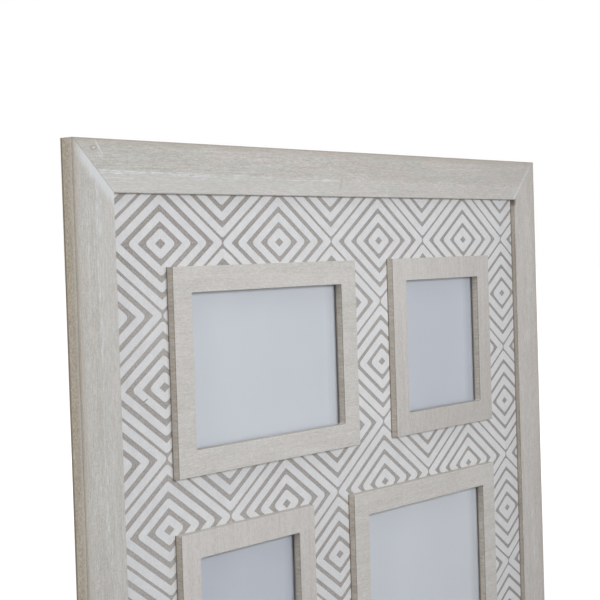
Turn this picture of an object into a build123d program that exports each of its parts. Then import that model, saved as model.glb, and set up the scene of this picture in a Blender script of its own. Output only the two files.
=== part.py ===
# Collage photo frame: a mitred wooden frame round a patterned board with four raised photo windows.
# Millimetres. X runs right, Y runs back to the wall and Z runs up, so the front faces -Y.
# The origin is the middle of the wall plane that the frame hangs against.
import os

from build123d import *

os.makedirs("parts", exist_ok=True)

# Photos that the windows are made for
photo_long = 150.0
photo_short = 100.0
photo_overlap = 5.0         # how far a surround covers the photo on each side
pack_clearance = 0.5        # round the glass, photo and backing board in the cutout

# Surrounds: one flat piece each, glued on the patterned board
surround_rail = 15.0
surround_thickness = 5.5
surround_corner = 1.0
surround_edge_round = 0.4

# Strips of patterned board between the surrounds and the outer frame
column_margin = 42.0
edge_margin = 41.0
row_gap = 32.0

# Outer frame
rail_width = 29.0
rail_thickness = 9.5
rail_edge_round = 0.7
lip_depth = 4.3             # the rails' front stands this far in front of the patterned board
lip_cover = 7.0             # width of the rebate behind the lip
board_clearance = 0.5       # round the patterned board in the rebate

# What lies behind each window
board_thickness = 5.0
glass_thickness = 2.0
glass_arris = 0.2
insert_gap = 0.1            # air between the glass and the paper
insert_thickness = 0.3

# Corner nails: angled steel wedges pressed in across each mitre from the back
corner_nail_leg = 6.0
corner_nail_steel = 0.5
corner_nail_cover = 4.0     # wood left in front of a corner nail
corner_nail_margin = 4.0    # from a corner nail to the rail's outer edge and to its rebate

# Brads through the patterned board into the rails' lips
brad_radius = 0.6
brad_cover = 1.1            # wood left in front of a brad's point
brads_per_side = 3
driven_fit = 0.02           # round brads and screws in their wood

# Turn buttons and their screws
button_length = 24.0
button_width = 9.0
button_thickness = 1.0
button_edge_round = 0.25
button_gap = 0.1            # behind the patterned board
button_setback = 6.0        # from the cutout's edge to the pivot
button_screw_radius = 1.5
button_fit = 0.06           # running clearance on the screw
screw_head_radius = 3.0
screw_head_height = 1.3
screw_head_round = 0.9
screw_cross_length = 3.4
screw_cross_width = 0.7
screw_cross_depth = 0.7
screw_cover = 1.2           # wood left in front of a button screw's point

# Hangers: a strap with a rolled eye on each stile, and a ring that swings in the eye
strap_width = 10.0
strap_steel = 0.8
strap_foot_length = 5.0     # below the lower screw
strap_foot_round = 2.5
ring_wire_radius = 0.9
ring_fit = 0.06             # running clearance of the ring in the eye
ring_end_gap = 0.4          # straight wire past each end of the eye
ring_corner = 2.0
ring_leg = 2.0
hanger_drop = 62.0          # from the frame's top down to the eye
hanger_screw_radius = 1.5
hanger_screw_gap = 0.8      # between the hanging ring and the upper screw's head
hanger_screw_pitch = 7.5
hanger_screw_cover = 3.5    # wood left in front of a hanger screw's point

# Rubber pads that keep the lower edge off the wall
pad_thickness = 4.0
pad_radius = 5.0
pad_round = 1.0
pad_inset = 60.0            # from the frame's side to a pad's middle

# Surrounds and their layout: a long window beside a square one, turned about in the second row
surround_margin = surround_rail - photo_overlap
long_surround = photo_long + 2 * surround_margin
square_surround = photo_short + 2 * surround_margin
inner_width = 3 * column_margin + long_surround + square_surround
inner_height = 2 * edge_margin + 2 * square_surround + row_gap
frame_width = inner_width + 2 * rail_width
frame_height = inner_height + 2 * rail_width
rebate_width = inner_width + 2 * lip_cover
rebate_height = inner_height + 2 * lip_cover
board_width = rebate_width - 2 * board_clearance
board_height = rebate_height - 2 * board_clearance

long_x = inner_width / 2 - column_margin - long_surround / 2
square_x = inner_width / 2 - column_margin - square_surround / 2
row_z = (square_surround + row_gap) / 2
windows = {
    "top_left": (-long_x, row_z, photo_long),
    "top_right": (square_x, row_z, photo_short),
    "bottom_left": (-square_x, -row_z, photo_short),
    "bottom_right": (long_x, -row_z, photo_long),
}
cutout_height = photo_short + 2 * pack_clearance

# Distances in front of the wall
rail_back = pad_thickness
rail_front = rail_back + rail_thickness
board_face = rail_front - lip_depth
board_back = board_face - board_thickness
glass_back = board_face - glass_thickness
insert_face = glass_back - insert_gap
backing_face = insert_face - insert_thickness
button_front = board_back - button_gap
button_rear = button_front - button_thickness

# Solid part of a rail's back, beside the rebate
rail_solid = rail_width - lip_cover
corner_nail_depth = rail_thickness - corner_nail_cover
corner_nail_setbacks = (corner_nail_margin, rail_solid - corner_nail_margin - corner_nail_leg)

# Corners of the mitred frame, clockwise from the upper left as seen from the front
corner_sides = [(-1, 1), (1, 1), (1, -1), (-1, -1)]
outer_corners = [(side_x * frame_width / 2, side_z * frame_height / 2) for side_x, side_z in corner_sides]
inner_corners = [(side_x * inner_width / 2, side_z * inner_height / 2) for side_x, side_z in corner_sides]

# Places of the brads, as X and Z
brad_setback = (lip_cover - board_clearance) / 2
brad_line_x = board_width / 2 - brad_setback
brad_line_z = board_height / 2 - brad_setback
brad_places = []
for step in range(brads_per_side):
    share = (step + 0.5) / brads_per_side * 2 - 1
    for side in (-1, 1):
        brad_places.append((share * brad_line_x, side * brad_line_z))
        brad_places.append((side * brad_line_x, share * brad_line_z))
brad_bite = lip_depth - brad_cover

# Pivots of the turn buttons, above and below each cutout
button_reach = cutout_height / 2 + button_setback
button_pivots = {}
for window, (x, z, photo_width) in windows.items():
    button_pivots[f"{window}_upper"] = (x, z + button_reach, -1)
    button_pivots[f"{window}_lower"] = (x, z - button_reach, 1)
button_screw_places = [(x, z) for x, z, inward in button_pivots.values()]
button_screw_bite = board_thickness - screw_cover

# Hangers stand on the solid part of the stiles' backs
hanger_x = frame_width / 2 - rail_solid / 2
hanger_z = frame_height / 2 - hanger_drop
eye_inner_radius = ring_wire_radius + ring_fit
eye_outer_radius = eye_inner_radius + strap_steel
eye_y = eye_outer_radius - rail_back
strap_rear = rail_back - strap_steel
ring_half_width = strap_width / 2 + ring_end_gap + ring_corner
ring_drop = ring_corner + ring_leg + ring_half_width + ring_wire_radius
upper_screw_drop = ring_drop + hanger_screw_gap + screw_head_radius
lower_screw_drop = upper_screw_drop + hanger_screw_pitch
strap_length = lower_screw_drop + strap_foot_length
hanger_screw_bite = rail_thickness - hanger_screw_cover
hanger_screw_places = [
    (side * hanger_x, hanger_z - drop) for side in (-1, 1) for drop in (upper_screw_drop, lower_screw_drop)
]


def front_plane(distance):
    """Sketch plane that faces the viewer, at a distance in front of the wall."""
    return Plane.XZ.offset(distance)


def corner_nail_outlines():
    """Draw the corner nails in the open sketch: right-angled, with the apex towards the outer corner."""
    for side_x, side_z in corner_sides:
        inward = (Align.MIN if side_x < 0 else Align.MAX, Align.MIN if side_z < 0 else Align.MAX)
        for setback in corner_nail_setbacks:
            apex = (side_x * (frame_width / 2 - setback), side_z * (frame_height / 2 - setback))
            with Locations(apex):
                Rectangle(corner_nail_leg, corner_nail_steel, align=inward)
                Rectangle(corner_nail_steel, corner_nail_leg, align=inward)


def round_holes(places, radius, start, depth):
    """Cut round holes in the open part, from a distance in front of the wall towards the viewer."""
    with BuildSketch(front_plane(start)) as holes:
        with Locations(*places):
            Circle(radius)
    extrude(holes.sketch, amount=depth, mode=Mode.SUBTRACT)


def cross_head_screws(places, shank_radius, seat, bite):
    """Add screws to the open part: domed heads on a seat, with shanks of a given bite past it."""
    with BuildSketch(front_plane(seat - screw_head_height)) as heads:
        with Locations(*places):
            Circle(screw_head_radius)
    domes = extrude(heads.sketch, amount=screw_head_height)
    fillet(domes.edges().group_by(Axis.Y)[-1], screw_head_round)
    with BuildSketch(front_plane(seat)) as shanks:
        with Locations(*places):
            Circle(shank_radius)
    extrude(shanks.sketch, amount=bite)
    with BuildSketch(front_plane(seat - screw_head_height)) as crosses:
        with Locations(*places):
            Rectangle(screw_cross_length, screw_cross_width)
            Rectangle(screw_cross_width, screw_cross_length)
    extrude(crosses.sketch, amount=screw_cross_depth, mode=Mode.SUBTRACT)


# Outer frame: four rails with mitred ends, a rebate for the board and slots for the corner nails
rail_ends = {"top_rail": (0, 1), "right_stile": (1, 2), "bottom_rail": (2, 3), "left_stile": (3, 0)}
for label, (start, end) in rail_ends.items():
    along = Axis.X if "rail" in label else Axis.Z
    with BuildPart() as rail:
        with BuildSketch(front_plane(rail_back)):
            with BuildLine():
                Polyline(
                    outer_corners[start],
                    outer_corners[end],
                    inner_corners[end],
                    inner_corners[start],
                    close=True,
                )
            make_face()
        extrude(amount=rail_thickness)
        front_face = rail.faces().sort_by(Axis.Y)[0]
        fillet(front_face.edges().filter_by(along), rail_edge_round)
        with BuildSketch(front_plane(rail_back)):
            Rectangle(rebate_width, rebate_height)
        extrude(amount=board_face - rail_back, mode=Mode.SUBTRACT)
        with BuildSketch(front_plane(rail_back)):
            corner_nail_outlines()
        extrude(amount=corner_nail_depth, mode=Mode.SUBTRACT)
        round_holes(brad_places, brad_radius + driven_fit, board_face, brad_bite)
        round_holes(hanger_screw_places, hanger_screw_radius + driven_fit, rail_back, hanger_screw_bite)
    rail.part.label = label
    export_step(rail.part, f"parts/{label}.step")

# Corner nails, two across each mitre
with BuildPart() as corner_nails:
    with BuildSketch(front_plane(rail_back)):
        corner_nail_outlines()
    extrude(amount=corner_nail_depth)
corner_nails.part.label = "corner_nails"
export_step(corner_nails.part, "parts/corner_nails.step")

# Patterned board, with a cutout behind each surround
with BuildPart() as patterned_board:
    with BuildSketch(front_plane(board_back)):
        Rectangle(board_width, board_height)
        for x, z, photo_width in windows.values():
            with Locations((x, z)):
                Rectangle(photo_width + 2 * pack_clearance, cutout_height, mode=Mode.SUBTRACT)
    extrude(amount=board_thickness)
    round_holes(brad_places, brad_radius + driven_fit, board_back, board_thickness)
    round_holes(button_screw_places, button_screw_radius + driven_fit, board_back, button_screw_bite)
patterned_board.part.label = "patterned_board"
export_step(patterned_board.part, "parts/patterned_board.step")

# Brads that hold the board against the lips
with BuildPart() as board_brads:
    with BuildSketch(front_plane(board_back)):
        with Locations(*brad_places):
            Circle(brad_radius)
    extrude(amount=board_thickness + brad_bite)
board_brads.part.label = "board_brads"
export_step(board_brads.part, "parts/board_brads.step")

# Each window: a raised surround, then glass, paper insert and backing board in the cutout
for window, (x, z, photo_width) in windows.items():
    with BuildPart() as surround:
        with BuildSketch(front_plane(board_face)):
            with Locations((x, z)):
                Rectangle(photo_width + 2 * surround_margin, square_surround)
                RectangleRounded(
                    photo_width - 2 * photo_overlap,
                    photo_short - 2 * photo_overlap,
                    surround_corner,
                    mode=Mode.SUBTRACT,
                )
        extrude(amount=surround_thickness)
        fillet(surround.faces().sort_by(Axis.Y)[0].edges(), surround_edge_round)
    surround.part.label = f"surround_{window}"
    export_step(surround.part, f"parts/surround_{window}.step")

    with BuildPart() as glass:
        with BuildSketch(front_plane(glass_back)):
            with Locations((x, z)):
                Rectangle(photo_width, photo_short)
        extrude(amount=glass_thickness)
        chamfer(glass.faces().sort_by(Axis.Y)[0].edges(), glass_arris)
    glass.part.label = f"glass_{window}"
    export_step(glass.part, f"parts/glass_{window}.step")

    with BuildPart() as insert:
        with BuildSketch(front_plane(backing_face)):
            with Locations((x, z)):
                Rectangle(photo_width, photo_short)
        extrude(amount=insert_thickness)
    insert.part.label = f"paper_insert_{window}"
    export_step(insert.part, f"parts/paper_insert_{window}.step")

    with BuildPart() as backing:
        with BuildSketch(front_plane(board_back)):
            with Locations((x, z)):
                Rectangle(photo_width, photo_short)
        extrude(amount=backing_face - board_back)
    backing.part.label = f"backing_board_{window}"
    export_step(backing.part, f"parts/backing_board_{window}.step")

# Turn buttons, each pointing over its backing board
button_span = button_length - button_width
for place, (x, z, inward) in button_pivots.items():
    with BuildPart() as button:
        with BuildSketch(front_plane(button_rear)):
            with Locations((x, z + inward * button_span / 2)):
                SlotCenterToCenter(button_span, button_width, rotation=90)
            with Locations((x, z)):
                Circle(button_screw_radius + button_fit, mode=Mode.SUBTRACT)
        extrude(amount=button_thickness)
        rear_outline = button.faces().sort_by(Axis.Y)[-1].outer_wire()
        fillet(rear_outline.edges(), button_edge_round)
    button.part.label = f"turn_button_{place}"
    export_step(button.part, f"parts/turn_button_{place}.step")

with BuildPart() as button_screws:
    button_screw_seat = button_rear - button_fit
    cross_head_screws(
        button_screw_places,
        button_screw_radius,
        button_screw_seat,
        board_back - button_screw_seat + button_screw_bite,
    )
button_screws.part.label = "turn_button_screws"
export_step(button_screws.part, "parts/turn_button_screws.step")

# Hangers: a strap with a rolled eye, and a ring through the eye
for side_name, side in (("left", -1), ("right", 1)):
    with BuildPart() as strap:
        with BuildSketch(Plane.YZ.offset(side * hanger_x)):
            with Locations((eye_y, hanger_z)):
                Circle(eye_outer_radius)
            with Locations((-rail_back, hanger_z)):
                Rectangle(strap_steel, strap_length, align=(Align.MIN, Align.MAX))
            with Locations((eye_y, hanger_z)):
                Circle(eye_inner_radius, mode=Mode.SUBTRACT)
        extrude(amount=strap_width / 2, both=True)
        strap_foot = strap.edges().filter_by(Axis.Y).group_by(Axis.Z)[0]
        fillet(strap_foot, strap_foot_round)
        strap_holes = [place for place in hanger_screw_places if place[0] * side > 0]
        round_holes(strap_holes, hanger_screw_radius + driven_fit, strap_rear, strap_steel)
    strap.part.label = f"hanger_strap_{side_name}"
    export_step(strap.part, f"parts/hanger_strap_{side_name}.step")

    with BuildPart() as ring:
        with BuildLine(Plane.XZ.offset(-eye_y).shift_origin((side * hanger_x, eye_y, hanger_z))) as bow:
            bar = Line((ring_corner - ring_half_width, 0), (ring_half_width - ring_corner, 0))
            first_corner = JernArc(bar @ 1, bar % 1, ring_corner, -90)
            first_leg = Line(first_corner @ 1, (ring_half_width, -ring_corner - ring_leg))
            foot = JernArc(first_leg @ 1, first_leg % 1, ring_half_width, -180)
            second_leg = Line(foot @ 1, (-ring_half_width, -ring_corner))
            JernArc(second_leg @ 1, second_leg % 1, ring_corner, -90)
        with BuildSketch(Plane(bow.line @ 0, z_dir=bow.line % 0)):
            Circle(ring_wire_radius)
        sweep()
    ring.part.label = f"hanger_ring_{side_name}"
    export_step(ring.part, f"parts/hanger_ring_{side_name}.step")

with BuildPart() as hanger_screws:
    cross_head_screws(
        hanger_screw_places,
        hanger_screw_radius,
        strap_rear,
        strap_steel + hanger_screw_bite,
    )
hanger_screws.part.label = "hanger_screws"
export_step(hanger_screws.part, "parts/hanger_screws.step")

# Rubber pads on the bottom rail's back
with BuildPart() as wall_pads:
    pad_x = frame_width / 2 - pad_inset
    pad_z = rail_solid / 2 - frame_height / 2
    with BuildSketch(Plane.XZ):
        with Locations((-pad_x, pad_z), (pad_x, pad_z)):
            Circle(pad_radius)
    extrude(amount=pad_thickness)
    fillet(wall_pads.edges().group_by(Axis.Y)[-1], pad_round)
wall_pads.part.label = "wall_pads"
export_step(wall_pads.part, "parts/wall_pads.step")
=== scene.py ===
# %% [markdown]
# # Dressing a collage photo frame
# The object is a wall frame of whitewashed wood. It goes round a board that carries a white print of
# nested diamonds, and raised wooden surrounds on the board hold small panes of glass. The solids come
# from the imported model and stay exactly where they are. This lesson gives each of them its finish, lays
# the print on the board as thin raised paint, and then sets up the light and the camera of the photograph.

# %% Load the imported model
import math
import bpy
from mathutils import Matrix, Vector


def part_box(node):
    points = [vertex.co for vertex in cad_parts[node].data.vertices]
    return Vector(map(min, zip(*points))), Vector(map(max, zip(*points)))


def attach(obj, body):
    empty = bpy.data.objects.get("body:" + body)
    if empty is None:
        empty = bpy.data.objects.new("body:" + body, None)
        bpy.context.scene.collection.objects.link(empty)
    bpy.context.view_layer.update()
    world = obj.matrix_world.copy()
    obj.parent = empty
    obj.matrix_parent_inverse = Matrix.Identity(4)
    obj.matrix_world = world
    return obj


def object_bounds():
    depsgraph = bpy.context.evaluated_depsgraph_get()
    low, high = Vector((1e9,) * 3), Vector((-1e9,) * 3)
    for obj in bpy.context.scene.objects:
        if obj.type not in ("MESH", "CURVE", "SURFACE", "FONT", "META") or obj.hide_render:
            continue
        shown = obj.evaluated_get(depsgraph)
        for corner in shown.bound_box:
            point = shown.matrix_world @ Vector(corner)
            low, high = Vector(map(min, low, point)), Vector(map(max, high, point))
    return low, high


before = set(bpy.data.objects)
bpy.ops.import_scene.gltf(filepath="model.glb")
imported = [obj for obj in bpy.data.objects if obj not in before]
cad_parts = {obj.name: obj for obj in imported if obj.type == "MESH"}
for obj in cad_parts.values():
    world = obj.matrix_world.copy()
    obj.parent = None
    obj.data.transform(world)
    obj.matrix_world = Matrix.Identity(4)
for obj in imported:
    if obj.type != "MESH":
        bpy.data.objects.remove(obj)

from types import SimpleNamespace

import bmesh
import bpy
from mathutils import Matrix, Vector, noise

MM = 0.001
cad_low, cad_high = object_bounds()
print("packed box in metres", [round(v, 4) for v in cad_low], [round(v, 4) for v in cad_high])

# %% [markdown]
# ## Sizes that the finishes need
# A finish often starts or stops at an edge: cut edges are browner than faces, and the paint lies only
# between the rails and the surrounds. These places could be typed in again, but then they could drift
# away from the model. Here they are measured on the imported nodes, in millimetres, because that is how a
# maker thinks.

# %% Measure the places where finishes change
long_ratio = 1.1


def node_box(node):
    """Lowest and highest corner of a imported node, in millimetres."""
    low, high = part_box(node)
    return low / MM, high / MM


def is_long(place):
    """True for the windows that are wider than high."""
    low, high = node_box(f"surround_{place}")
    return high.x - low.x > long_ratio * (high.z - low.z)


window_places = ("top_left", "top_right", "bottom_left", "bottom_right")
rail_low, rail_high = node_box("top_rail")
stile_low, stile_high = node_box("right_stile")
surround_low, surround_high = node_box("surround_top_left")
half_width = stile_high.x
half_height = rail_high.z
rail_width = stile_high.x - stile_low.x
rail_front = rail_low.y
rail_back = rail_high.y
board_face = node_box("patterned_board")[0].y
surround_front = surround_low.y
panel_half_width = half_width - rail_width
panel_half_height = half_height - rail_width
gap_left = surround_high.x
gap_right = node_box("surround_top_right")[0].x
print(f"frame {2 * half_width:.0f} x {2 * half_height:.0f} mm, rails {rail_width:.0f} mm wide")

# %% [markdown]
# ## Shader sums in plain Python
# A procedural finish is mostly arithmetic on positions: stretch a noise, compare it with a limit, mix two
# colours. Wiring that by hand hides the idea, so one small class holds a socket and turns `+`, `-`, `*`
# and `/` into Math nodes. Its `node` method makes every other kind of node.

# %% A socket with arithmetic


class Wire:
    """One output socket of a node tree. An operator on it adds the Math node that works the sum out."""

    def __init__(self, tree, socket):
        self.tree = tree
        self.socket = socket

    def node(self, kind, settings=None, sockets=None, output=0):
        """Add a node: first its settings, then values or wires for its sockets. Gives one output."""
        made = self.tree.nodes.new(kind)
        for name, value in (settings or {}).items():
            setattr(made, name, value)
        for name, value in (sockets or {}).items():
            if isinstance(value, Wire):
                self.tree.links.new(value.socket, made.inputs[name])
            else:
                made.inputs[name].default_value = value
        return Wire(self.tree, made.outputs[output] if made.outputs else None)

    def sum(self, operation, *values):
        return self.node("ShaderNodeMath", {"operation": operation}, dict(enumerate(values)))

    def __add__(self, other):
        return self.sum("ADD", self, other)

    __radd__ = __add__

    def __sub__(self, other):
        return self.sum("SUBTRACT", self, other)

    def __rsub__(self, other):
        return self.sum("SUBTRACT", other, self)

    def __mul__(self, other):
        return self.sum("MULTIPLY", self, other)

    __rmul__ = __mul__

    def __truediv__(self, other):
        return self.sum("DIVIDE", self, other)

    def __abs__(self):
        return self.sum("ABSOLUTE", self)

    def most(self, other):
        return self.sum("MAXIMUM", self, other)

    def root(self):
        return self.sum("SQRT", self)

    def rise(self, low, high):
        """0 below low, 1 above high, and a smooth step between them."""
        settings = {"interpolation_type": "SMOOTHSTEP"}
        return self.node("ShaderNodeMapRange", settings, {"Value": self, "From Min": low, "From Max": high})

    def blend(self, from_colour, to_colour):
        """A colour that goes from one to the other as this value goes from 0 to 1."""
        colours = {0: self, 6: from_colour, 7: to_colour}
        return self.node("ShaderNodeMix", {"data_type": "RGBA"}, colours, output=2)


print("shader sums ready")

# %% [markdown]
# ## Words for colours, places and noise
# Colours are written as a paint chart gives them, red, green and blue from 0 to 255, and turned into the
# linear values that shaders use. Every finish starts from the piece's own Object coordinates in
# millimetres, so a streak that is 20 mm long on the real wood is written as 20 here.

# %% Helpers that every finish shares


def paint(red, green, blue):
    """Linear colour of a screen colour given from 0 to 255."""
    shares = [channel / 255 for channel in (red, green, blue)]
    return tuple(s / 12.92 if s <= 0.04045 else ((s + 0.055) / 1.055) ** 2.4 for s in shares) + (1.0,)


def start_finish(name):
    """A new material, with wires for the X, Y and Z of a point on the piece, in millimetres."""
    material = bpy.data.materials.new(name)
    material.use_nodes = True
    tree = material.node_tree
    tree.nodes.clear()
    place = Wire(tree, tree.nodes.new("ShaderNodeTexCoord").outputs["Object"])
    metres = [place.node("ShaderNodeSeparateXYZ", {}, {"Vector": place}, axis) for axis in range(3)]
    return material, [along / MM for along in metres]


def ray_is(wire, kind):
    """1 for rays of one kind and 0 for all others."""
    return wire.node("ShaderNodeLightPath", output=f"Is {kind} Ray")


def clouds(x, y, z, size, detail=2.0):
    """Soft noise round 0.5, with lumps of a size in millimetres, or of a size for each direction."""
    sizes = size if isinstance(size, tuple) else (size, size, size)
    spot = x.node("ShaderNodeCombineXYZ", {}, {"X": x / sizes[0], "Y": y / sizes[1], "Z": z / sizes[2]})
    return spot.node("ShaderNodeTexNoise", {}, {"Vector": spot, "Scale": 1.0, "Detail": detail})


def sway(noise_wire, amount):
    """A noise as a swing round 0 instead of round 0.5."""
    return (noise_wire - 0.5) * amount


def tone_of(*noises_and_weights):
    """Weighted sum of noises, round 0.5."""
    tone = 0.5
    for noise_wire, weight in noises_and_weights:
        tone = sway(noise_wire, weight) + tone
    return tone


def surface(colour, roughness, height=None, relief=0.1, **constants):
    """A Principled surface. Height is from 0 to 1, and relief its depth in millimetres."""
    sockets = {"Base Color": colour, "Roughness": roughness}
    if height is not None:
        bump = {"Height": height, "Strength": 1.0, "Distance": relief * MM}
        sockets["Normal"] = height.node("ShaderNodeBump", {}, bump)
    sockets.update({name.replace("_", " "): value for name, value in constants.items()})
    return colour.node("ShaderNodeBsdfPrincipled", {}, sockets)


def show(shader):
    """Put a shader on its material's output."""
    shader.node("ShaderNodeOutputMaterial", {}, {"Surface": shader})


def wear(node, material):
    """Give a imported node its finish."""
    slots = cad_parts[node].data.materials
    slots.clear()
    slots.append(material)


print("middle grey as a linear colour", [round(c, 3) for c in paint(128, 128, 128)])

# %% [markdown]
# ## Grain of the washed wood
# The wood is brushed with thin white paint and rubbed back, so what shows is half grain and half brush.
# An image of wood would repeat and stretch. Noise that is drawn out along the fibres fits any length of
# wood, and a few of them are enough: fine grit, short dabs and long strokes of the brush, thin pores and
# a slow figure. Broad patches tell where the paint is thicker.

# %% Noises of the washed wood
grain_sizes = {
    "grit": (1.2, 0.8, 0.8),
    "dabs": (5.0, 0.7, 0.7),
    "strokes": (16.0, 0.65, 0.65),
    "pores": (55.0, 0.8, 0.8),
    "figure": (120.0, 3.0, 3.0),
    "patches": (40.0, 9.0, 9.0),
}


def washed_grain(along, across, depth):
    """The noises of washed wood by name, each round 0.5."""
    noises = {name: clouds(along, across, depth, size) for name, size in grain_sizes.items()}
    return SimpleNamespace(**noises)


def grain_tone(grain, **weights):
    """Weighted sum of the grain's noises, round 0.5."""
    return tone_of(*((getattr(grain, name), weight) for name, weight in weights.items()))


def grain_mix(grain, **shares):
    """Mean of some of the grain's noises, each with its share."""
    return sum(getattr(grain, name) * share for name, share in shares.items())


print("grain made of", ", ".join(grain_sizes))

# %% [markdown]
# ## Whitewashed rails
# The grain runs along each rail, so the four rails need the noise turned two ways. One function could hold
# the whole finish, but it would be long. Here each effect is a function of its own that takes the colour so
# far and hands back a new one, in the order in which a maker would add them: the washed face, paler wood,
# wear, pooled paint, the sides and at last the marks.

# %% Colours of the rails
wash_dark = paint(169, 167, 161)
wash_light = paint(204, 203, 199)
blush_dark = paint(173, 167, 162)
blush_light = paint(207, 202, 199)
worn_brown = paint(168, 155, 140)
wash_pale = paint(203, 203, 201)
wash_white = paint(216, 219, 223)
side_dark = paint(158, 147, 130)
side_light = paint(204, 196, 182)
lip_dark = paint(151, 142, 133)
lip_light = paint(189, 183, 175)
arris_brown = paint(128, 116, 100)
# Dark colour of the rear line, also used as painted shade at the foot of the lips
rear_line_and_foot_shade = paint(118, 110, 99)
raw_pine = paint(206, 184, 148)
raw_pine_dark = paint(172, 143, 104)
print("rail face from", [round(c, 2) for c in wash_dark[:3]], "to", [round(c, 2) for c in wash_light[:3]])

# %% Washed face of a rail
rail_blush_size = (6.0, 32.0, 6.0)
rail_blush_limits = (0.38, 0.62)
rail_blush_drift = 0.0004


def place_on_rail(x, y, z, upright, outward):
    """Where a point lies on a rail: along it, across it, in from its outer edge and behind its face."""
    along, across = (z, x) if upright else (x, z)
    edge, half_length = (half_width, half_height) if upright else (half_height, half_width)
    inward = edge - across * outward
    depth = y - rail_front
    return SimpleNamespace(
        x=x, y=y, z=z, along=along, across=across, half_length=half_length, inward=inward, depth=depth
    )


def rail_face(at, grain):
    """The washed colour of a rail. It turns pinkish in patches, more of them towards the right."""
    tone = grain_tone(grain, grit=1.4, dabs=1.4, strokes=0.7, pores=0.4, figure=0.3, patches=0.4)
    blush = clouds(at.across, at.along, at.y, rail_blush_size) + at.x * rail_blush_drift
    washed = tone.blend(wash_dark, wash_light)
    return blush.rise(*rail_blush_limits).blend(washed, tone.blend(blush_dark, blush_light))


print("washed face ready")

# %% [markdown]
# ### Paler wood
# On some rails the inner part took more of the paint. It begins at a line along the rail that wavers with
# the figure of the wood. A broken white line was brushed beside it, white streaks follow, and thin wisps
# lie anywhere on the face. All of them are noises of the grain that are cut off at a limit.

# %% Paler wood, streaks and wisps
pale_sway = 2.5
pale_fade = (-0.4, 0.5)
pale_strength = 0.5
brushed_middle = 1.0
brushed_fade = (0.3, 2.0)
brushed_patches = (0.42, 0.55)
brushed_breaks = (0.93, 1.13)
brushed_strength = 0.8
streak_limits = (0.5, 0.62)
streak_patches = (0.4, 0.6)
streak_least = 0.5
streak_fade = (0.6, 5.0)
streak_near = 0.8
streak_far = 0.15
wisp_limits = (0.54, 0.68)
wisp_patches = (0.5, 0.65)
wisp_strength = 0.4


def paler_wood(colour, at, grain, pale_from, pale_drift, pale_ends):
    """A rail's colour with its paler inner part, the brushed line where that begins, and streaks."""
    past_line = at.inward - (at.along * pale_drift + pale_from + sway(grain.figure, pale_sway))
    to_high_end = at.along.rise(-at.half_length, at.half_length)
    strength = to_high_end * (pale_ends[1] - pale_ends[0]) + pale_ends[0]
    paler = past_line.rise(*pale_fade) * strength
    colour = (paler * pale_strength).blend(colour, wash_pale)
    brushed = 1 - abs(past_line - brushed_middle).rise(*brushed_fade)
    brushed = brushed * grain.patches.rise(*brushed_patches)
    brushed = brushed * (grain.dabs + grain.strokes).rise(*brushed_breaks)
    colour = (brushed * strength * brushed_strength).blend(colour, wash_white)
    in_patches = grain.patches.rise(*streak_patches) * (1 - streak_least) + streak_least
    streaks = grain_mix(grain, dabs=0.7, pores=0.3).rise(*streak_limits) * in_patches
    near_line = 1 - past_line.rise(*streak_fade)
    return (streaks * paler * (near_line * streak_near + streak_far)).blend(colour, wash_white)


def white_wisps(colour, grain):
    """A rail's colour with thin wisps of white along the grain."""
    wisps = grain_mix(grain, pores=0.6, dabs=0.4).rise(*wisp_limits) * grain.patches.rise(*wisp_patches)
    return (wisps * wisp_strength).blend(colour, wash_white)


print("paler wood ready")

# %% [markdown]
# ### Edges and mitres
# Rubbing takes the paint off the edges first, so the outer edge is browner and the inner one has brown
# spots. At the mitres the opposite happens: paint pools beside the joint in a bluish white wedge with a
# ragged border, and the joint itself stays a thin dark line. The distance from a mitre is easy to find,
# because there the point is as far from the side of the frame as from its top or bottom.

# %% Worn edges and pooled paint
outer_wear_fade = (0.8, 5.0)
outer_wear = 0.35
inner_wear_fade = (-0.9, -0.3)
inner_wear_spots = (0.5, 0.6)
inner_wear = 0.75
rail_middle = (-20.0, 20.0)
pool_raggedness = {"strokes": 9.0, "dabs": 5.0}
pool_core = 0.35
pool_inward = (-2.0, 9.0)
joint_fade = (0.05, 0.4)
joint_strength = 0.45
arris_fade = (0.3, 1.0)
arris_strength = 0.4


def worn_edges(colour, at, grain):
    """A rail's colour, browner along its outer edge and in spots along its inner edge."""
    outer = (1 - at.inward.rise(*outer_wear_fade)) * outer_wear
    spots = (at.inward - rail_width).rise(*inner_wear_fade) * grain.grit.rise(*inner_wear_spots)
    return (outer + spots * inner_wear).blend(colour, worn_brown)


def pooled_mitres(colour, at, grain, pooled_ends, pooled_reach):
    """A rail's colour with the pooled paint and the dark joint at its two mitres."""
    from_mitre = abs(abs(at.z) - abs(at.x) - (half_height - half_width)) / math.sqrt(2)
    high_end = at.along.rise(*rail_middle)
    strength = high_end * pooled_ends[1] + (1 - high_end) * pooled_ends[0]
    ragged = from_mitre
    for name, amount in pool_raggedness.items():
        ragged = ragged + sway(getattr(grain, name), amount)
    wedge = 1 - ragged.rise(pool_core * pooled_reach, pooled_reach)
    colour = (strength * wedge * at.inward.rise(*pool_inward)).blend(colour, wash_white)
    joint = 1 - from_mitre.rise(*joint_fade)
    return (joint * joint_strength).blend(colour, arris_brown)


def dark_arris(colour, at):
    """A rail's colour with a thin brown line on its outer arris."""
    return ((1 - at.inward.rise(*arris_fade)) * arris_strength).blend(colour, arris_brown)


print("edges and mitres ready")
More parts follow.
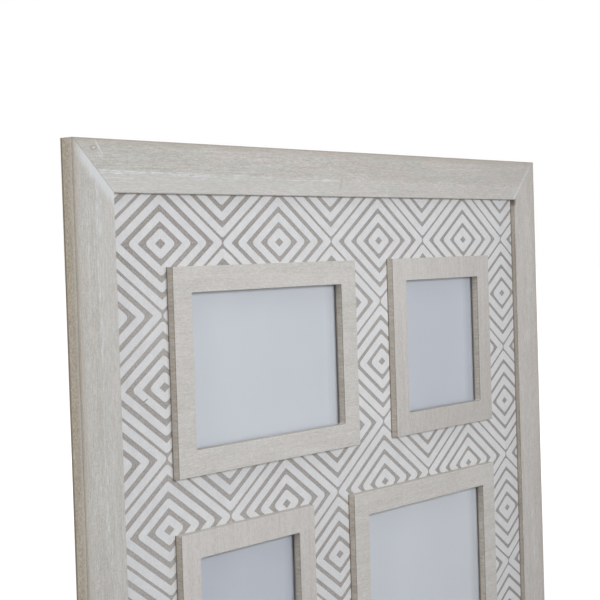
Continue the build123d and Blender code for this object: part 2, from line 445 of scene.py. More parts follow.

# %% [markdown]
# ### Sides and lips
# The outer sides and the walls of the lips are browner and specked, because less paint reached them. Thin
# dark lines run along their front and their rear arris, and at the foot of the lip, where the board begins,
# a dark line is painted shade. The depth of a point behind the face tells these apart.

# %% Sides and lips of a rail
side_rough_size = (1.8, 4.0, 0.7)
side_speck_size = 0.9
lip_shares = (0.4, 0.6)
wash_over_sway = 4.0
wash_over_fade = (1.5, 3.2)
wash_over_strength = 0.5
front_line_sway = 1.5
front_line_fade = (0.7, 1.3)
front_line_strength = 0.55
rear_line_fade = (-1.7, -1.0)
rear_line_strength = 0.9
# Painted shade at the foot of the lip, where the board begins
lip_foot_shade_fade = (-1.3, -0.6)
lip_foot_shade_strength = 0.7


def rail_side(at, grain):
    """A rail's browner outer side and lip wall, with dark lines at front and rear and painted shade at the
    foot.
    """
    rough = clouds(at.along, at.across, at.y, side_rough_size, detail=3.0)
    specks = clouds(at.along, at.across, at.y, side_speck_size)
    tone = tone_of((rough, 1.7), (specks, 1.4), (grain.patches, 1.0))
    in_lip = at.inward.rise(lip_shares[0] * rail_width, lip_shares[1] * rail_width)
    colour = in_lip.blend(tone.blend(side_dark, side_light), tone.blend(lip_dark, lip_light))
    washed_over = 1 - (at.depth + sway(rough, wash_over_sway)).rise(*wash_over_fade)
    colour = (washed_over * (1 - in_lip) * wash_over_strength).blend(colour, wash_pale)
    wavering = at.depth + sway(grain.patches, front_line_sway) + sway(rough, 1.0)
    front_line = 1 - wavering.rise(*front_line_fade)
    colour = (front_line * front_line_strength).blend(colour, arris_brown)
    rear_line = (at.y - rail_back).rise(*rear_line_fade)
    # Painted shade: a dark line at the foot of the lip, where the board begins
    foot_shade = (at.y - board_face).rise(*lip_foot_shade_fade) * in_lip
    return (rear_line * rear_line_strength).most(foot_shade * lip_foot_shade_strength).blend(colour, rear_line_and_foot_shade)


print("sides ready")

# %% [markdown]
# ### Small marks
# A few marks tell that the frame was made and handled. The top rail has a little knot and two scuffs at
# its left end, a scratch at its middle and a thinner wash at its right end. The right stile has lost its
# paint at the inner upper corner, where a dark patch is also painted shade under the top rail. Each mark
# is a mask from a distance: to a line for a scuff, to a stretched circle for the knot, and to a point for
# the corner.

# %% Masks for small marks
mark_taper = 1.5
mark_fade = (0.4, 1.4)
ring_middle = 0.75
ring_fade = (0.1, 0.42)


def straight_mark(x, z, start, end, half_breadth):
    """1 on a straight mark between two points of the face, 0 beside it."""
    run = Vector(end) - Vector(start)
    step = run.normalized()
    from_start = (x - start[0], z - start[1])
    along = from_start[0] * step.x + from_start[1] * step.y
    beside = abs(from_start[1] * step.x - from_start[0] * step.y)
    ends = along.rise(0.0, mark_taper) * (1 - along.rise(run.length - mark_taper, run.length))
    return ends * (1 - beside.rise(mark_fade[0] * half_breadth, mark_fade[1] * half_breadth))


def knot_ring(x, z, centre, half_size):
    """1 on a small ring, 0 inside and outside it."""
    across = (x - centre[0]) / half_size[0]
    up = (z - centre[1]) / half_size[1]
    reach = (across * across + up * up).root()
    return 1 - abs(reach - ring_middle).rise(*ring_fade)


print("masks ready")

# %% Marks of the top rail and the right stile
knot_pink = paint(155, 130, 121)
scratch_grey = paint(158, 154, 149)
# Bare wood and painted shade in the right stile's inner upper corner
chip_and_shade_brown = paint(110, 94, 88)
knot = ((-222.2, 200.9), (2.7, 1.4))
knot_strength = 0.45
knot_heart = ((-223.8, 200.9), (-220.6, 200.9), 0.45)
knot_heart_strength = 0.6
scuff = ((-221.3, 205.2), (-215.3, 196.4), 0.55)
scuff_strength = 0.6
smaller_scuff = ((-219.8, 200.0), (-216.2, 194.6), 0.4)
smaller_scuff_strength = 0.4
scratch = ((-4.9, 190.0), (-8.3, 181.2), 0.5)
scratch_strength = 0.55
thin_wash_along = (20.0, 200.0)
thin_wash_inward = (18.5, 16.5)
thin_wash_strength = 0.14
# Mask of the bare wood and painted shade in the corner under the top rail
chip_shade_squeeze = 2
chip_shade_drop = 1.0
chip_shade_fade = (1.5, 5.0)
chip_shade_strength = 0.75


def marked_rail(colour, x, z):
    """The top rail's colour with its knot, scuffs and scratch, and a thinner wash at its right end."""
    colour = (knot_ring(x, z, *knot) * knot_strength).blend(colour, knot_pink)
    rubbed = straight_mark(x, z, *scuff) * scuff_strength
    rubbed = rubbed + straight_mark(x, z, *smaller_scuff) * smaller_scuff_strength
    rubbed = rubbed + straight_mark(x, z, *knot_heart) * knot_heart_strength
    colour = rubbed.blend(colour, wash_white)
    colour = (straight_mark(x, z, *scratch) * scratch_strength).blend(colour, scratch_grey)
    outer_part = z.rise(half_height - thin_wash_inward[0], half_height - thin_wash_inward[1])
    thin_wash = x.rise(*thin_wash_along) * outer_part
    return (thin_wash * thin_wash_strength).blend(colour, scratch_grey)


def chip_and_painted_shade(colour, x, z):
    """The right stile's colour with bare, dark wood and painted shade at its inner corner under the top
    rail.
    """
    across = (x - panel_half_width) * chip_shade_squeeze
    down = panel_half_height - chip_shade_drop - z
    from_chip_and_shade = (across * across + down * down).root()
    return ((1 - from_chip_and_shade.rise(*chip_shade_fade)) * chip_shade_strength).blend(colour, chip_and_shade_brown)


print("marks ready")

# %% [markdown]
# ### All four rails
# Now the effects are put together, and every rail gets its own mixture of them. The backs are bare pine,
# which nobody paints.

# %% Finish of the four rails
side_sway = 0.5
side_fade = (0.25, 0.6)
pine_limits = (0.35, 0.62)
pine_fade = (-0.3, -0.1)
rail_roughness = 0.62
rail_roughness_sway = 0.3
rail_relief = 0.1


def washed_rail(node, upright, outward, pale, pooled_ends, pooled_reach, marks=None):
    """Finish for one rail. Outward is the side its outer edge is on, +1 or -1. Pale says where the paler
    wood begins: how far in from the outer edge, how that shifts with length, and how pale it is at the low
    and high end. Pooled_ends are the strengths of the pooled paint at both mitres, and pooled_reach how
    wide it is. Marks adds small marks to the colour."""
    material, (x, y, z) = start_finish(f"washed_{node}")
    at = place_on_rail(x, y, z, upright, outward)
    grain = washed_grain(at.along, at.across, y)
    colour = rail_face(at, grain)
    colour = paler_wood(colour, at, grain, *pale)
    colour = white_wisps(colour, grain)
    colour = worn_edges(colour, at, grain)
    colour = pooled_mitres(colour, at, grain, pooled_ends, pooled_reach)
    colour = dark_arris(colour, at)
    on_side = (at.depth + sway(grain.dabs, side_sway)).rise(*side_fade)
    colour = on_side.blend(colour, rail_side(at, grain))
    if marks is not None:
        colour = marks(colour, x, z)
    pine = grain_mix(grain, pores=0.5, figure=0.5).rise(*pine_limits).blend(raw_pine_dark, raw_pine)
    colour = (y - rail_back).rise(*pine_fade).blend(colour, pine)
    roughness = sway(grain.dabs, rail_roughness_sway) + rail_roughness
    show(surface(colour, roughness, grain_mix(grain, dabs=0.4, pores=0.3, grit=0.3), rail_relief))
    wear(node, material)


washed_rail(
    "top_rail", upright=False, outward=1, pale=(17.8, 0.006, (1.0, 0.25)),
    pooled_ends=(0.05, 0.6), pooled_reach=3.5, marks=marked_rail,
)
washed_rail(
    "bottom_rail", upright=False, outward=-1, pale=(15.0, -0.006, (0.3, 0.7)),
    pooled_ends=(0.5, 0.1), pooled_reach=5.0,
)
washed_rail(
    "left_stile", upright=True, outward=-1, pale=(14.8, 0.002, (0.0, 0.6)),
    pooled_ends=(0.3, 0.75), pooled_reach=7.5,
)
washed_rail(
    "right_stile", upright=True, outward=1, pale=(12.0, 0.003, (0.2, 0.1)),
    pooled_ends=(0.4, 0.05), pooled_reach=4.0, marks=chip_and_painted_shade,
)
print("rails finished")

# %% [markdown]
# ## Surrounds
# Each surround is sawn in one piece from thin board, so its grain runs one way all round: along on the
# long ones and up on the square ones. Its face has the same wash, paler and more even, and its cut edges
# are brown. The cut edges that face up, the ledges, are found by their normal and painted paler as
# painted light, and the foot of every cut edge has a dark line of painted shade.

# %% Finish of the surrounds
long_dark = paint(183, 180, 175)
long_light = paint(210, 208, 205)
square_dark = paint(180, 176, 172)
square_light = paint(206, 203, 201)
sawn_edge_dark = paint(166, 157, 145)
sawn_edge_light = paint(204, 198, 189)
# Dark line at the front of the cut edges, also used as painted shade at their foot
sawn_line_and_foot_shade = paint(112, 102, 90)
long_thinning = 0.0003
square_thinning = 0.0027
thinning_start = 15.0
surround_blush_size = (5.0, 26.0, 5.0)
surround_blush_limits = (0.4, 0.62)
surround_blush = 0.35
saw_mark_size = (1.0, 5.0, 1.0)
sawn_front_fade = (0.6, 1.2)
sawn_front_strength = 0.45
# Painted shade at the foot of the cut edges, and painted light on the ledges that face up
sawn_foot_shade_fade = (-1.2, -0.5)
sawn_foot_shade_strength = 0.85
ledge_slopes = (0.5, 0.9)
ledge_light_strength = 0.75
sawn_edge_sway = 0.3
sawn_edge_fade = (0.12, 0.4)
surround_roughness = 0.6
surround_roughness_sway = 0.25
surround_relief = 0.07


def sawn_edge(x, y, z, grain, washed):
    """A surround's brown cut edges: a dark front line, painted shade at the foot, painted light on ledges.
    """
    saw_marks = clouds(x, y, z, saw_mark_size)
    colour = tone_of((saw_marks, 1.6), (grain.patches, 1.0)).blend(sawn_edge_dark, sawn_edge_light)
    front_line = 1 - (y - surround_front + sway(saw_marks, 1.0)).rise(*sawn_front_fade)
    # Painted shade: a dark line at the foot, where the board begins
    foot_shade = (y - board_face).rise(*sawn_foot_shade_fade)
    line = (front_line * sawn_front_strength).most(foot_shade * sawn_foot_shade_strength)
    colour = line.blend(colour, sawn_line_and_foot_shade)
    # Painted light: ledges that face up are paler, as if lit from above
    normal = x.node("ShaderNodeNewGeometry", output="True Normal")
    ledge_light = x.node("ShaderNodeSeparateXYZ", {}, {"Vector": normal}, "Z").rise(*ledge_slopes)
    return (ledge_light * ledge_light_strength).blend(colour, washed)


def washed_surround(name, upright, dark, light, thinning):
    """Finish of a surround whose face goes from a dark to a light wash. Thinning tells how fast the wash
    gets thinner towards the lower right."""
    material, (x, y, z) = start_finish(name)
    along, across = (z, x) if upright else (x, z)
    grain = washed_grain(along, across, y)
    tone = grain_tone(grain, grit=1.3, dabs=1.1, strokes=0.4, pores=0.4, figure=0.5, patches=0.5)
    tone = tone - (x - z + thinning_start) * thinning
    blush = clouds(across, along, y, surround_blush_size).rise(*surround_blush_limits)
    washed = (blush * surround_blush).blend(tone.blend(dark, light), tone.blend(blush_dark, blush_light))
    on_edge = (y - surround_front + sway(grain.dabs, sawn_edge_sway)).rise(*sawn_edge_fade)
    colour = on_edge.blend(washed, sawn_edge(x, y, z, grain, washed))
    roughness = sway(grain.dabs, surround_roughness_sway) + surround_roughness
    show(surface(colour, roughness, grain_mix(grain, dabs=0.5, grit=0.5), surround_relief))
    return material


long_wash = (long_dark, long_light, long_thinning)
square_wash = (square_dark, square_light, square_thinning)
long_surround = washed_surround("washed_surround_long", False, *long_wash)
square_surround = washed_surround("washed_surround_square", True, *square_wash)
for place in window_places:
    wear(f"surround_{place}", long_surround if is_long(place) else square_surround)
print("surrounds finished")

# %% [markdown]
# ## Printed board
# The board is fibreboard with a taupe stain on its face, which shows as the lines between the white print.
# A close look finds fine specks in the stain, lighter and browner, so two noises of about a millimetre
# break it up. The stain is a little darker towards the right. The upper left corner is darker as painted
# shade, and the strip between the two upper windows is paler as painted light. The back is bare fibreboard.

# %% Finish of the board
taupe_dark = paint(138, 133, 129)
taupe_light = paint(182, 179, 177)
bare_fibreboard = paint(193, 163, 124)
bare_fibreboard_dark = paint(163, 130, 92)
stain_drift = 0.0006
stain_depth = (0.1, 0.3)
# Painted shade in the upper left corner of the board, under the lips
shaded_corner_across = (-140.0, -30.0)
shaded_corner_up = (120.0, 150.0)
corner_painted_shade = 0.18
# Painted light on the strip between the two upper windows
gap_fade_inside = 20.0
gap_fade_outside = 10.0
gap_painted_light = 0.17
fleck_size = (3.0, 0.6, 0.8)
fleck_limits = (0.35, 0.6)
board_roughness = 0.7
board_roughness_sway = 0.3
board_relief = 0.08


def painted_light_between_windows(x, z):
    """1 on the strip of board between the two upper windows, fading out beside it: where light is painted.
    """
    gap = gap_right - gap_left
    beside = abs(x - (gap_left + gap_right) / 2).rise(gap / 2, gap)
    above = z.rise(surround_high.z - gap_fade_inside, surround_high.z + gap_fade_outside)
    below = 1 - z.rise(surround_low.z - gap_fade_outside, surround_low.z + gap_fade_inside)
    return 1 - beside.most(above).most(below)


def stained_board():
    material, (x, y, z) = start_finish("stained_board")
    specks = clouds(x, y, z, size=1.0, detail=3.0)
    grit = clouds(x, y, z, size=0.45, detail=1.0)
    drift = clouds(x, y, z, size=45.0)
    # Painted shade darkens the upper left corner of the board
    corner = z.rise(*shaded_corner_up) * (1 - x.rise(*shaded_corner_across))
    tone = tone_of((specks, 1.5), (grit, 0.8), (drift, 0.6)) - x * stain_drift - corner * corner_painted_shade
    # Painted light brightens the strip between the two upper windows
    tone = tone + painted_light_between_windows(x, z) * gap_painted_light
    flecks = clouds(x, y, z, fleck_size, detail=3.0)
    bare = (flecks * 0.7 + grit * 0.3).rise(*fleck_limits).blend(bare_fibreboard_dark, bare_fibreboard)
    stained = 1 - (y - board_face).rise(*stain_depth)
    colour = stained.blend(bare, tone.blend(taupe_dark, taupe_light))
    show(surface(colour, sway(grit, board_roughness_sway) + board_roughness, specks, board_relief))
    return material


wear("patterned_board", stained_board())
print("board finished")

# %% [markdown]
# ## White print of nested diamonds
# The print is a common lattice of nested diamonds: every cell has four white rings, and the stain shows
# between them. A procedural colour would do from afar, but paint has a thickness and an edge, so the rings
# are modelled. Each outer outline is a circle of four segments, stretched to a diamond, with its tips
# rounded by a bevel. A sharp diamond inside it makes the hole, and a fill closes the ring. The lines are a
# little finer towards the right, as on the real print, and a small wobble takes away the look of a drawing
# made with a ruler. The wobble's noise has a fixed seed, so every run makes the same print.

# %% Shape of one ring
print_origin = Vector((-169.87, 0.0, 149.22))
cell_width = 104.36
cell_height = 80.63
cell_drift = 0.000019
ring_width_share = 1.037
ring_height_share = 0.953
side_tip_round = 3.0
end_tip_round = 1.8
tip_segments = 4
tip_reach = 0.01
side_cuts = 7


def width_at(x):
    """Width of a cell: the print is a little closer towards the right."""
    return cell_width * (1 - 2 * cell_drift * (x - print_origin.x))


def add_diamond(mesh, centre, size, filled):
    """Add the outline of a diamond on the board's face. Size is a share of the cell. A ring is a little
    wider and lower than its cell, so that rings nearly touch at their side tips."""
    half_across = size * ring_width_share * width_at(centre.x) / 2
    half_up = size * ring_height_share * cell_height / 2
    stretch = Matrix.Diagonal((half_across, half_up, 1.0, 1.0))
    stand = Matrix.Translation((centre.x, board_face, centre.z)) @ Matrix.Rotation(math.pi / 2, 4, "X")
    bmesh.ops.create_circle(mesh, cap_ends=filled, segments=4, radius=1.0, matrix=stand @ stretch)


def round_tips(mesh, tips, offset):
    bmesh.ops.bevel(
        mesh, geom=tips, offset=offset, affect="VERTICES", segments=tip_segments, profile=0.5, material=-1
    )


def white_ring(centre, inner, outer):
    """One ring of print: a diamond with rounded tips and a sharp diamond hole."""
    ring = bmesh.new()
    add_diamond(ring, centre, outer, filled=True)
    round_tips(ring, [tip for tip in ring.verts if abs(tip.co.z - centre.z) < tip_reach], side_tip_round)
    round_tips(ring, [tip for tip in ring.verts if abs(tip.co.x - centre.x) < tip_reach], end_tip_round)
    bmesh.ops.delete(ring, geom=ring.faces[:], context="FACES_ONLY")
    add_diamond(ring, centre, inner, filled=False)
    sides = [edge for edge in ring.edges if edge.calc_length() > side_tip_round]
    bmesh.ops.subdivide_edges(ring, edges=sides, cuts=side_cuts)
    bmesh.ops.triangle_fill(ring, use_beauty=True, edges=ring.edges[:], normal=(0, -1, 0))
    return ring


print(f"one cell is {cell_width:.0f} x {cell_height:.0f} mm")

# %% Lay out the rings
print_angle = 0.0040
first_column = -2
first_row = -3
spare_cells = 3
ring_count = 4
first_ring = 0.1581
ring_step = 0.2469
band_halves = (0.0737, 0.0863)
centre_reaches = (0.0785, 0.0670)
last_reaches = (0.9770, 0.9822)
wobble = 0.12
wobble_length = 9.0
wobble_seed = 5


def across_board(x, ends):
    """A value that goes evenly from the board's left end to its right end."""
    share = (x + panel_half_width) / (2 * panel_half_width)
    return ends[0] + (ends[1] - ends[0]) * min(max(share, 0.0), 1.0)


def cell_centres():
    """Centres of all the cells that reach into the visible board."""
    turned = Matrix.Rotation(print_angle, 3, "Y")
    columns = range(first_column, 2 * math.ceil(2 * panel_half_width / cell_width) + spare_cells)
    rows = range(first_row, 2 * math.ceil(2 * panel_half_height / cell_height) + spare_cells)
    for column in columns:
        even = column * cell_width / 2
        for row in rows:
            if (column + row) % 2 == 0:
                step = Vector((even - cell_drift * even ** 2, 0.0, -row * cell_height / 2))
                centre = print_origin + turned @ step
                near_x = abs(centre.x) < panel_half_width + cell_width / 2
                near_z = abs(centre.z) < panel_half_height + cell_height / 2
                if near_x and near_z:
                    yield centre


def ring_reaches(x, number):
    """How far in and out a ring goes, as shares of its cell. The first and the last ring are special."""
    half = across_board(x, band_halves)
    middle = first_ring + number * ring_step
    inner, outer = middle - half, middle + half
    if number == 0:
        inner = across_board(x, centre_reaches)
    if number == ring_count - 1:
        outer = across_board(x, last_reaches)
    return inner, outer


def print_rings():
    """All the rings in one flat mesh. Each is made alone first, so that its bevel can't touch others."""
    mesh = bmesh.new()
    one_ring = bpy.data.meshes.new("one_ring")
    for centre in cell_centres():
        for number in range(ring_count):
            ring = white_ring(centre, *ring_reaches(centre.x, number))
            ring.to_mesh(one_ring)
            ring.free()
            mesh.from_mesh(one_ring)
    bpy.data.meshes.remove(one_ring)
    return mesh


def shake(mesh):
    """Move every corner a little, by a noise that is the same in every run."""
    noise.seed_set(wobble_seed)
    for vert in mesh.verts:
        drift = noise.noise_vector(vert.co / wobble_length)
        vert.co.x += drift.x * wobble
        vert.co.z += drift.z * wobble


printed = print_rings()
shake(printed)
print("rings laid out with", len(printed.faces), "faces")

# %% [markdown]
# ### Trim the print and give it its thickness
# On the real board the print runs on under the rails and the surrounds. Here it stops where it goes out of
# sight, so that the paint doesn't lie inside the wood: bisecting cuts it along the rails and round each
# surround, and the faces inside a surround's outline are deleted. Then all the faces are extruded towards
# the viewer by the thickness of the paint. Extruding hands out faces in any order, so they are sorted.

# %% Trim the print
cut_tolerance = 1e-5
flat_angle = math.radians(0.5)


def cut(mesh, point, normal, clear=False):
    geometry = mesh.verts[:] + mesh.edges[:] + mesh.faces[:]
    bmesh.ops.bisect_plane(
        mesh, geom=geometry, dist=cut_tolerance, plane_co=point, plane_no=normal, clear_outer=clear
    )


for side in (-1, 1):
    cut(printed, (side * panel_half_width, 0, 0), (side, 0, 0), clear=True)
    cut(printed, (0, 0, side * panel_half_height), (0, 0, side), clear=True)
for place in window_places:
    low, high = node_box(f"surround_{place}")
    for corner in (low, high):
        cut(printed, corner, (1, 0, 0))
        cut(printed, corner, (0, 0, 1))
    covered = []
    for face in printed.faces:
        middle = face.calc_center_median()
        if low.x < middle.x < high.x and low.z < middle.z < high.z:
            covered.append(face)
    bmesh.ops.delete(printed, geom=covered, context="FACES")
bmesh.ops.dissolve_limit(printed, angle_limit=flat_angle, verts=printed.verts[:], edges=printed.edges[:])
print("print trimmed to", len(printed.faces), "faces")

# %% Thicken the print
paint_thickness = 0.15

raised = bmesh.ops.extrude_face_region(printed, geom=printed.faces[:])
raised_verts = [part for part in raised["geom"] if isinstance(part, bmesh.types.BMVert)]
bmesh.ops.translate(printed, vec=(0, -paint_thickness, 0), verts=raised_verts)
bmesh.ops.recalc_face_normals(printed, faces=printed.faces[:])
bmesh.ops.triangulate(printed, faces=printed.faces[:])
by_place = sorted(printed.faces, key=lambda face: tuple(face.calc_center_median()))
ranks = {face: rank for rank, face in enumerate(by_place)}
printed.faces.sort(key=ranks.get)
bmesh.ops.scale(printed, vec=(MM, MM, MM), verts=printed.verts[:])

print_mesh = bpy.data.meshes.new("printed_diamonds")
printed.to_mesh(print_mesh)
printed.free()
printed_diamonds = bpy.data.objects.new("printed_diamonds", print_mesh)
bpy.context.scene.collection.objects.link(printed_diamonds)
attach(printed_diamonds, "frame")
print("print has", len(print_mesh.polygons), "triangles")

# %% [markdown]
# ### White paint
# The white isn't pure: it is a thin coat, so the stain greys it here and there, and its surface is
# slightly rough. A slow noise and a fine one are enough. Between the two upper windows the white is
# painted paler as painted light. The print has a nick at the left, made with the mask of the scuffs.

# %% Finish of the print
white_thin = paint(204, 204, 206)
white_thick = paint(225, 226, 228)
nick_dark = paint(92, 86, 80)
gap_painted_light_on_print = 0.33
nick = ((-188.0, 61.4), (-183.6, 63.6), 0.32)
nick_strength = 0.85
print_roughness = 0.55
print_roughness_sway = 0.3
print_relief = 0.05


def white_print():
    material, (x, y, z) = start_finish("white_print")
    coat = clouds(x, y, z, size=7.0, detail=3.0)
    grit = clouds(x, y, z, size=0.9)
    # Painted light: the white is paler between the two upper windows
    tone = tone_of((coat, 0.8), (grit, 1.1)) + painted_light_between_windows(x, z) * gap_painted_light_on_print
    colour = tone.blend(white_thin, white_thick)
    colour = (straight_mark(x, z, *nick) * nick_strength).blend(colour, nick_dark)
    show(surface(colour, sway(coat, print_roughness_sway) + print_roughness, grit, print_relief))
    return material


print_mesh.materials.append(white_print())
print("print finished")

# %% [markdown]
# ## Glass, paper and backing
# Behind each surround lie a pane, a plain sheet that stands in for a photo, and a brown hardboard. The
# glass lets light through and bends it, so the paper's edge under the surround shows as a dark line, as on
# the real frame. The real panes mirror little, so the index is lower than that of window glass. Light on
# its way to the paper passes straight through, because bent light would come out as noisy spots. The
# paper is a cool pale grey, and in the square windows it is darker as painted shade.

# %% Finish of the panes
glass_index = 1.3
smear_size = (60.0, 60.0, 25.0)
smear_limits = (0.4, 0.9)
smear_roughness = 0.04
glass_grey = paint(250, 252, 253)
glass_clear = paint(254, 254, 254)
light_through = (0.97, 0.98, 0.98, 1.0)


def window_glass():
    """Clear glass that bends what is seen through it, and lets the light on to the paper straight."""
    material, (x, y, z) = start_finish("window_glass")
    smears = clouds(x, y, z, smear_size, detail=3.0)
    roughness = smears.rise(*smear_limits) * smear_roughness
    tint = smears.blend(glass_grey, glass_clear)
    pane = surface(tint, roughness, IOR=glass_index, Transmission_Weight=1.0)
    lets_light = x.node("ShaderNodeBsdfTransparent", {}, {"Color": light_through})
    lighting = ray_is(x, "Shadow").most(ray_is(x, "Diffuse"))
    show(x.node("ShaderNodeMixShader", {}, {0: lighting, 1: pane, 2: lets_light}))
    return material


glass_finish = window_glass()
for place in window_places:
    wear(f"glass_{place}", glass_finish)
print("panes finished")

# %% Finish of the inserts and the backing boards
long_paper = (paint(200, 203, 211), paint(210, 213, 220))
# The square windows' paper is darker, as painted shade
square_paper_shaded = (paint(187, 190, 201), paint(197, 200, 210))
hardboard_dark = paint(112, 83, 57)
hardboard_light = paint(166, 134, 101)
sheet_size = (45.0, 45.0, 220.0)
paper_roughness = 0.7
paper_relief = 0.006
pressed_size = (5.0, 0.8, 1.6)
crossed_size = (1.6, 0.8, 5.0)
hardboard_roughness = 0.6
hardboard_relief = 0.1
backing_roughness_sway = 0.2


def insert_paper(name, shade, tint):
    material, (x, y, z) = start_finish(name)
    pulp = clouds(x, y, z, size=1.5, detail=3.0)
    sheet = clouds(x, y, z, sheet_size, detail=1.0)
    colour = tone_of((pulp, 0.3), (sheet, 1.1)).blend(shade, tint)
    roughness = sway(pulp, backing_roughness_sway) + paper_roughness
    show(surface(colour, roughness, pulp, paper_relief))
    return material


def hardboard():
    material, (x, y, z) = start_finish("hardboard")
    pressed = clouds(x, y, z, pressed_size, detail=4.0)
    crossed = clouds(x, y, z, crossed_size, detail=4.0)
    dust = clouds(x, y, z, size=25.0)
    colour = tone_of((pressed, 1.5), (crossed, 1.5), (dust, 0.8)).blend(hardboard_dark, hardboard_light)
    fibres = pressed * 0.5 + crossed * 0.5
    roughness = sway(dust, backing_roughness_sway) + hardboard_roughness
    show(surface(colour, roughness, fibres, hardboard_relief))
    return material


long_insert = insert_paper("insert_paper_long", *long_paper)
square_insert = insert_paper("insert_paper_square", *square_paper_shaded)
backing_finish = hardboard()
for place in window_places:
    wear(f"paper_insert_{place}", long_insert if is_long(place) else square_insert)
    wear(f"backing_board_{place}", backing_finish)
print("inserts and backing boards finished")

# %% [markdown]
# ## Hardware on the back
# Turn buttons, straps and rings are stamped or bent from steel and zinc plated. Plating is bright but
# never even: it has a fine brushed line from the rolled sheet, and cloudy patches where it has dulled. The
# fasteners are plainer and a little darker. The wall pads are soft black rubber.

# %% Finish of the hardware
plate_bright = paint(190, 190, 187)
plate_dull = paint(150, 150, 147)
plate_roughness = 0.32
fastener_bright = paint(160, 159, 156)
fastener_dull = paint(116, 115, 112)
fastener_roughness = 0.36
plate_line_size = (0.25, 0.25, 9.0)
plate_line_sway = 0.2
plate_cloud_sway = 0.35
plate_relief = 0.02
rubber_dark = paint(30, 30, 31)
rubber_dusty = paint(58, 57, 56)
rubber_limits = (0.3, 0.75)
rubber_roughness = 0.8
rubber_roughness_sway = 0.2
rubber_relief = 0.06


def plated_steel(name, bright, dull, roughness):
    material, (x, y, z) = start_finish(name)
    brushed = clouds(x, y, z, plate_line_size)
    cloudy = clouds(x, y, z, size=3.5, detail=3.0)
    colour = tone_of((brushed, 1.0), (cloudy, 1.1)).blend(dull, bright)
    roughness = sway(cloudy, plate_cloud_sway) + sway(brushed, plate_line_sway) + roughness
    show(surface(colour, roughness, brushed, plate_relief, Metallic=1.0))
    return material


def soft_rubber():
    material, (x, y, z) = start_finish("soft_rubber")
    skin = clouds(x, y, z, size=0.5, detail=3.0)
    dust = clouds(x, y, z, size=4.0)
    colour = (skin * 0.4 + dust * 0.6).rise(*rubber_limits).blend(rubber_dark, rubber_dusty)
    show(surface(colour, sway(skin, rubber_roughness_sway) + rubber_roughness, skin, rubber_relief))
    return material


plated = plated_steel("plated_hardware", plate_bright, plate_dull, plate_roughness)
fastener = plated_steel("steel_fasteners", fastener_bright, fastener_dull, fastener_roughness)
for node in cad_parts:
    if node.startswith(("turn_button_", "hanger_strap", "hanger_ring")):
        wear(node, plated)
for node in ("turn_button_screws", "hanger_screws", "corner_nails", "board_brads"):
    wear(node, fastener)
wear("wall_pads", soft_rubber())
print("hardware finished")

# %% [markdown]
# ## Stage
# The photograph has a plain white ground. A floor and a world bright enough to look white would throw
# far too much light on the object. So rays from the camera find plain white there, also by way of glass
# or a mirror, and all other rays find a grey floor and a dim, even world. Near the frame the floor glows
# a little less, because the lamps light it too, and so it keeps the frame's shadow.

# %% Build the stage
white = paint(255, 255, 255)
black = (0.0, 0.0, 0.0, 1.0)
floor_size = 40.0
floor_grey = (0.25, 0.25, 0.25, 1.0)
near_glow = paint(225, 225, 225)
lit_reach = (600.0, 2000.0)
world_fill = (0.16, 0.16, 0.16, 1.0)

floor_bmesh = bmesh.new()
on_floor = Matrix.Translation((0, 0, cad_low.z))
bmesh.ops.create_grid(floor_bmesh, x_segments=1, y_segments=1, size=floor_size / 2, matrix=on_floor)
floor_mesh = bpy.data.meshes.new("floor")
floor_bmesh.to_mesh(floor_mesh)
floor_bmesh.free()
floor = bpy.data.objects.new("floor", floor_mesh)
bpy.context.scene.collection.objects.link(floor)


def seen_directly(wire):
    """1 for rays that show the ground itself: from the camera, in a reflection or through glass."""
    return ray_is(wire, "Camera").most(ray_is(wire, "Glossy")).most(ray_is(wire, "Transmission"))


def white_floor():
    """A floor that is seen as white and keeps the frame's shadow. Far from the lamps it glows more."""
    material, (x, y, z) = start_finish("white_floor")
    from_frame = (x * x + y * y).root()
    glow = from_frame.rise(*lit_reach).blend(near_glow, white)
    look = {"Emission Color": seen_directly(x).blend(black, glow), "Emission Strength": 1.0}
    show(x.node("ShaderNodeBsdfPrincipled", {}, {"Base Color": floor_grey, "Roughness": 1.0, **look}))
    return material


floor_mesh.materials.append(white_floor())

world = bpy.data.worlds.new("studio")
bpy.context.scene.world = world
world.use_nodes = True
world.node_tree.nodes.clear()
sky = Wire(world.node_tree, None)
sky_colour = seen_directly(sky).blend(world_fill, white)
ground = sky.node("ShaderNodeBackground", {}, {"Color": sky_colour, "Strength": 1.0})
ground.node("ShaderNodeOutputWorld", {}, {"Surface": ground})
print("stage built, floor at", round(cad_low.z, 4))

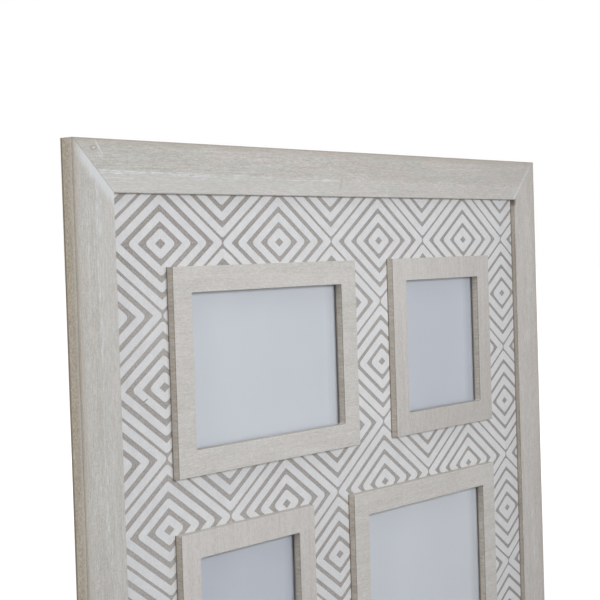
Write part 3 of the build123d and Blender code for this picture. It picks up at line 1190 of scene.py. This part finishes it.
# %% [markdown]
# ## Light
# The light in the photograph is soft, and it fades to the right and downwards. Most of it comes from one
# lamp in front, a little to the left of the middle and above it. That lamp isn't mirrored, because the
# panes in the photograph show no bright spot. A weak lamp above lights the ledges, lamps at both sides
# light the edges, and one behind lights the back.

# %% Place the lamps


def soft_lamp(name, place, size, power, mirrored=True):
    """A large soft lamp that faces the frame. It isn't seen itself, and in the panes only if mirrored."""
    data = bpy.data.lights.new(name, "AREA")
    data.shape = "RECTANGLE"
    data.size, data.size_y = size
    data.energy = power
    lamp = bpy.data.objects.new(name, data)
    lamp.location = place
    lamp.rotation_euler = (-Vector(place)).to_track_quat("-Z", "Y").to_euler()
    lamp.visible_camera = False
    lamp.visible_glossy = mirrored
    lamp.visible_transmission = mirrored
    bpy.context.scene.collection.objects.link(lamp)


soft_lamp("front_lamp", place=(-0.09, -0.88, 0.26), size=(0.6, 0.25), power=5.45, mirrored=False)
soft_lamp("upper_lamp", place=(-0.30, -0.55, 1.10), size=(0.8, 0.5), power=1.6)
soft_lamp("left_lamp", place=(-1.80, -0.10, 0.75), size=(1.0, 1.2), power=16.5)
soft_lamp("right_lamp", place=(1.80, 0.05, 0.50), size=(1.0, 1.2), power=10.0)
soft_lamp("rear_lamp", place=(0.30, 1.80, 0.90), size=(1.6, 1.2), power=32.0)
print("lamps placed:", ", ".join(light.name for light in bpy.data.lights))

# %% [markdown]
# ## Camera
# The camera stands to the left of the frame at eye height. Its place, its turn and its lens were found
# together from the corners of the frame in the photograph, so that edges fall where they do there.

# %% Set the camera
camera_place = Vector((-775.4, -599.8, 140.2)) * MM
camera_tilt = 88.3011
camera_roll = 1.7951
camera_turn = -51.0130
camera_lens = 90.11
sensor_width = 36.0
nearest_seen = 0.01

camera_data = bpy.data.cameras.new("camera")
camera_data.lens = camera_lens
camera_data.sensor_width = sensor_width
camera_data.clip_start = nearest_seen
camera = bpy.data.objects.new("camera", camera_data)
camera.location = camera_place
camera.rotation_euler = [math.radians(angle) for angle in (camera_tilt, camera_roll, camera_turn)]
bpy.context.scene.collection.objects.link(camera)
bpy.context.scene.camera = camera
bpy.context.scene.view_settings.view_transform = "Standard"
print("camera set at", [round(v, 3) for v in camera_place])
